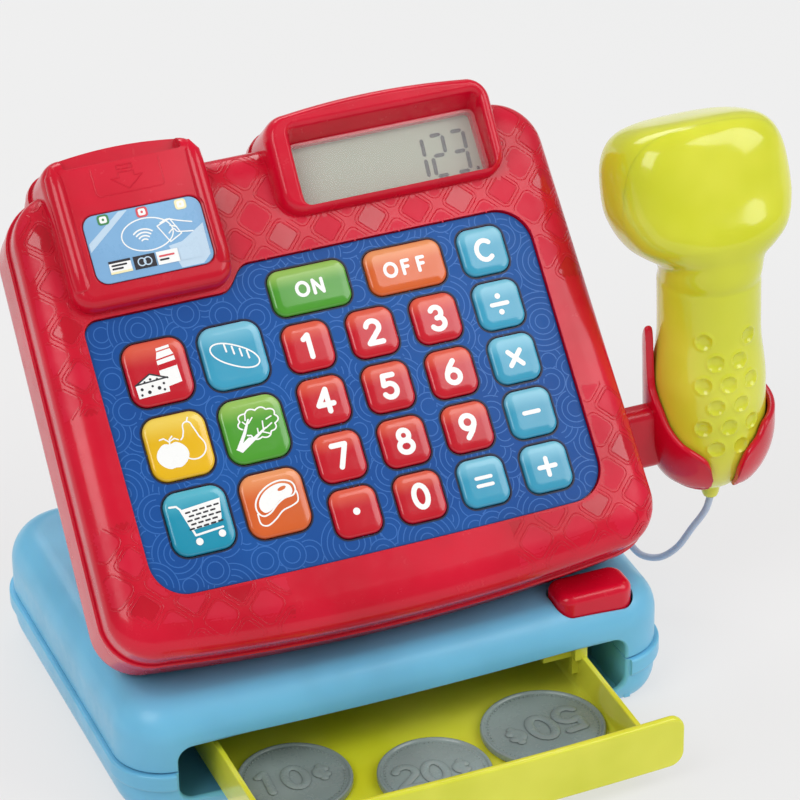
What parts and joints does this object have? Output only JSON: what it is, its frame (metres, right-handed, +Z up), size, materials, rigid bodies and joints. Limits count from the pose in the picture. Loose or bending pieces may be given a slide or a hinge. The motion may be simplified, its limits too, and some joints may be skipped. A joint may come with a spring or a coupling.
{
  "type": "toy cash register",
  "caption": "Toy cash register: blue drawer base, red tilted keypad head with display and card reader, and a corded hand scanner in a side cradle.",
  "frame": {"origin": "centre of the base's underside, on the table", "axes": "+X to the user's right, +Y to the back, +Z up; the user faces the keypad from -Y"},
  "size_m": [0.2544, 0.1857, 0.1858],
  "materials": {
    "blue_shell": "gloss moulded",
    "red_shell": "gloss moulded",
    "lime_plastic": "gloss moulded",
    "coin_plastic": "satin metallic grey",
    "steel": "plated",
    "cell_steel": "satin wrap",
    "dark_plastic": "matt",
    "board": "solder mask",
    "rubber_mat": "matt silicone",
    "overlay": "printed film",
    "label": "printed film",
    "display": "grey-green liquid crystal",
    "clear_window": "clear",
    "lens": "dark red tinted",
    "cord": "satin",
    "key_red": "gloss",
    "key_blue": "gloss",
    "key_green": "gloss",
    "key_orange": "gloss",
    "key_yellow": "gloss",
    "key_teal": "gloss"
  },
  "bodies": {
    "register": {"back_screw_1": "steel", "back_screw_2": "steel", "base_lower_shell": "blue_shell", "base_screw_1": "steel", "base_screw_2": "steel", "base_upper_shell": "blue_shell", "battery_box": "dark_plastic", "battery_cell_1": "cell_steel", "battery_cell_2": "cell_steel", "battery_door": "red_shell", "battery_door_screw": "steel", "card_label": "label", "circuit_board": "board", "cord_grommet": "cord", "drawer_spring": "steel", "head_back_shell": "red_shell", "head_front_shell": "red_shell", "key_mat": "rubber_mat", "keypad_overlay": "overlay", "lcd_module": "display", "lcd_window": "clear_window", "release_button_spring": "steel", "scanner_cord": "cord", "scanner_cradle": "red_shell", "speaker": "dark_plastic"},
    "drawer_body": {"drawer": "lime_plastic"},
    "release_button_body": {"release_button": "red_shell"},
    "scanner_body": {"scanner_front_shell": "lime_plastic", "scanner_rear_shell": "lime_plastic", "scan_window": "lens", "scanner_cord_boot": "lime_plastic"},
    "trigger_body": {"scan_trigger": "red_shell"},
    "coin_ten_body": {"coin_ten": "coin_plastic"},
    "coin_twenty_body": {"coin_twenty": "coin_plastic"},
    "coin_fifty_body": {"coin_fifty": "coin_plastic"},
    "key_0_body": {"key_0": "key_red"},
    "key_1_body": {"key_1": "key_red"},
    "key_2_body": {"key_2": "key_red"},
    "key_3_body": {"key_3": "key_red"},
    "key_4_body": {"key_4": "key_red"},
    "key_5_body": {"key_5": "key_red"},
    "key_6_body": {"key_6": "key_red"},
    "key_7_body": {"key_7": "key_red"},
    "key_8_body": {"key_8": "key_red"},
    "key_9_body": {"key_9": "key_red"},
    "key_add_body": {"key_add": "key_blue"},
    "key_bread_body": {"key_bread": "key_blue"},
    "key_cart_body": {"key_cart": "key_teal"},
    "key_clear_body": {"key_clear": "key_blue"},
    "key_dairy_body": {"key_dairy": "key_red"},
    "key_divide_body": {"key_divide": "key_blue"},
    "key_dot_body": {"key_dot": "key_red"},
    "key_equals_body": {"key_equals": "key_blue"},
    "key_fruit_body": {"key_fruit": "key_yellow"},
    "key_meat_body": {"key_meat": "key_orange"},
    "key_multiply_body": {"key_multiply": "key_blue"},
    "key_off_body": {"key_off": "key_orange"},
    "key_on_body": {"key_on": "key_green"},
    "key_subtract_body": {"key_subtract": "key_blue"},
    "key_vegetable_body": {"key_vegetable": "key_green"}
  },
  "joints": [
    {"name": "drawer_slide", "type": "slide", "parent": "register", "child": "drawer_body", "axis": [0, -1, 0], "range_m": [-0.0455, 0], "stiffness_N_per_m": 15},
    {"name": "release_button_press", "type": "slide", "parent": "register", "child": "release_button_body", "axis": [0, 0, -1], "range_m": [0, 0.0025], "stiffness_N_per_m": 300, "deforming": ["release_button_spring"]},
    {"name": "scanner_lift", "type": "slide", "parent": "register", "child": "scanner_body", "axis": [0, 0.0523, 0.9986], "range_m": [0, 0.07]},
    {"name": "scan_trigger_pull", "type": "slide", "parent": "scanner_body", "child": "trigger_body", "axis": [0, -0.9986, 0.0523], "range_m": [0, 0.0025], "stiffness_N_per_m": 300},
    {"name": "coin_ten_lift", "type": "slide", "parent": "drawer_body", "child": "coin_ten_body", "axis": [0, 0, 1], "range_m": [0, 0.011]},
    {"name": "coin_twenty_lift", "type": "slide", "parent": "drawer_body", "child": "coin_twenty_body", "axis": [0, 0, 1], "range_m": [0, 0.011]},
    {"name": "coin_fifty_lift", "type": "slide", "parent": "drawer_body", "child": "coin_fifty_body", "axis": [0, 0, 1], "range_m": [0, 0.011]},
    {"name": "key_0_press", "type": "slide", "parent": "register", "child": "key_0_body", "axis": [0, 0.7242, -0.6896], "range_m": [0, 0.0012], "stiffness_N_per_m": 250},
    {"name": "key_1_press", "type": "slide", "parent": "register", "child": "key_1_body", "axis": [0, 0.7242, -0.6896], "range_m": [0, 0.0012], "stiffness_N_per_m": 250},
    {"name": "key_2_press", "type": "slide", "parent": "register", "child": "key_2_body", "axis": [0, 0.7242, -0.6896], "range_m": [0, 0.0012], "stiffness_N_per_m": 250},
    {"name": "key_3_press", "type": "slide", "parent": "register", "child": "key_3_body", "axis": [0, 0.7242, -0.6896], "range_m": [0, 0.0012], "stiffness_N_per_m": 250},
    {"name": "key_4_press", "type": "slide", "parent": "register", "child": "key_4_body", "axis": [0, 0.7242, -0.6896], "range_m": [0, 0.0012], "stiffness_N_per_m": 250},
    {"name": "key_5_press", "type": "slide", "parent": "register", "child": "key_5_body", "axis": [0, 0.7242, -0.6896], "range_m": [0, 0.0012], "stiffness_N_per_m": 250},
    {"name": "key_6_press", "type": "slide", "parent": "register", "child": "key_6_body", "axis": [0, 0.7242, -0.6896], "range_m": [0, 0.0012], "stiffness_N_per_m": 250},
    {"name": "key_7_press", "type": "slide", "parent": "register", "child": "key_7_body", "axis": [0, 0.7242, -0.6896], "range_m": [0, 0.0012], "stiffness_N_per_m": 250},
    {"name": "key_8_press", "type": "slide", "parent": "register", "child": "key_8_body", "axis": [0, 0.7242, -0.6896], "range_m": [0, 0.0012], "stiffness_N_per_m": 250},
    {"name": "key_9_press", "type": "slide", "parent": "register", "child": "key_9_body", "axis": [0, 0.7242, -0.6896], "range_m": [0, 0.0012], "stiffness_N_per_m": 250},
    {"name": "key_add_press", "type": "slide", "parent": "register", "child": "key_add_body", "axis": [0, 0.7242, -0.6896], "range_m": [0, 0.0012], "stiffness_N_per_m": 250},
    {"name": "key_bread_press", "type": "slide", "parent": "register", "child": "key_bread_body", "axis": [0, 0.7242, -0.6896], "range_m": [0, 0.0012], "stiffness_N_per_m": 250},
    {"name": "key_cart_press", "type": "slide", "parent": "register", "child": "key_cart_body", "axis": [0, 0.7242, -0.6896], "range_m": [0, 0.0012], "stiffness_N_per_m": 250},
    {"name": "key_clear_press", "type": "slide", "parent": "register", "child": "key_clear_body", "axis": [0, 0.7242, -0.6896], "range_m": [0, 0.0012], "stiffness_N_per_m": 250},
    {"name": "key_dairy_press", "type": "slide", "parent": "register", "child": "key_dairy_body", "axis": [0, 0.7242, -0.6896], "range_m": [0, 0.0012], "stiffness_N_per_m": 250},
    {"name": "key_divide_press", "type": "slide", "parent": "register", "child": "key_divide_body", "axis": [0, 0.7242, -0.6896], "range_m": [0, 0.0012], "stiffness_N_per_m": 250},
    {"name": "key_dot_press", "type": "slide", "parent": "register", "child": "key_dot_body", "axis": [0, 0.7242, -0.6896], "range_m": [0, 0.0012], "stiffness_N_per_m": 250},
    {"name": "key_equals_press", "type": "slide", "parent": "register", "child": "key_equals_body", "axis": [0, 0.7242, -0.6896], "range_m": [0, 0.0012], "stiffness_N_per_m": 250},
    {"name": "key_fruit_press", "type": "slide", "parent": "register", "child": "key_fruit_body", "axis": [0, 0.7242, -0.6896], "range_m": [0, 0.0012], "stiffness_N_per_m": 250},
    {"name": "key_meat_press", "type": "slide", "parent": "register", "child": "key_meat_body", "axis": [0, 0.7242, -0.6896], "range_m": [0, 0.0012], "stiffness_N_per_m": 250},
    {"name": "key_multiply_press", "type": "slide", "parent": "register", "child": "key_multiply_body", "axis": [0, 0.7242, -0.6896], "range_m": [0, 0.0012], "stiffness_N_per_m": 250},
    {"name": "key_off_press", "type": "slide", "parent": "register", "child": "key_off_body", "axis": [0, 0.7242, -0.6896], "range_m": [0, 0.0012], "stiffness_N_per_m": 250},
    {"name": "key_on_press", "type": "slide", "parent": "register", "child": "key_on_body", "axis": [0, 0.7242, -0.6896], "range_m": [0, 0.0012], "stiffness_N_per_m": 250},
    {"name": "key_subtract_press", "type": "slide", "parent": "register", "child": "key_subtract_body", "axis": [0, 0.7242, -0.6896], "range_m": [0, 0.0012], "stiffness_N_per_m": 250},
    {"name": "key_vegetable_press", "type": "slide", "parent": "register", "child": "key_vegetable_body", "axis": [0, 0.7242, -0.6896], "range_m": [0, 0.0012], "stiffness_N_per_m": 250}
  ]
}
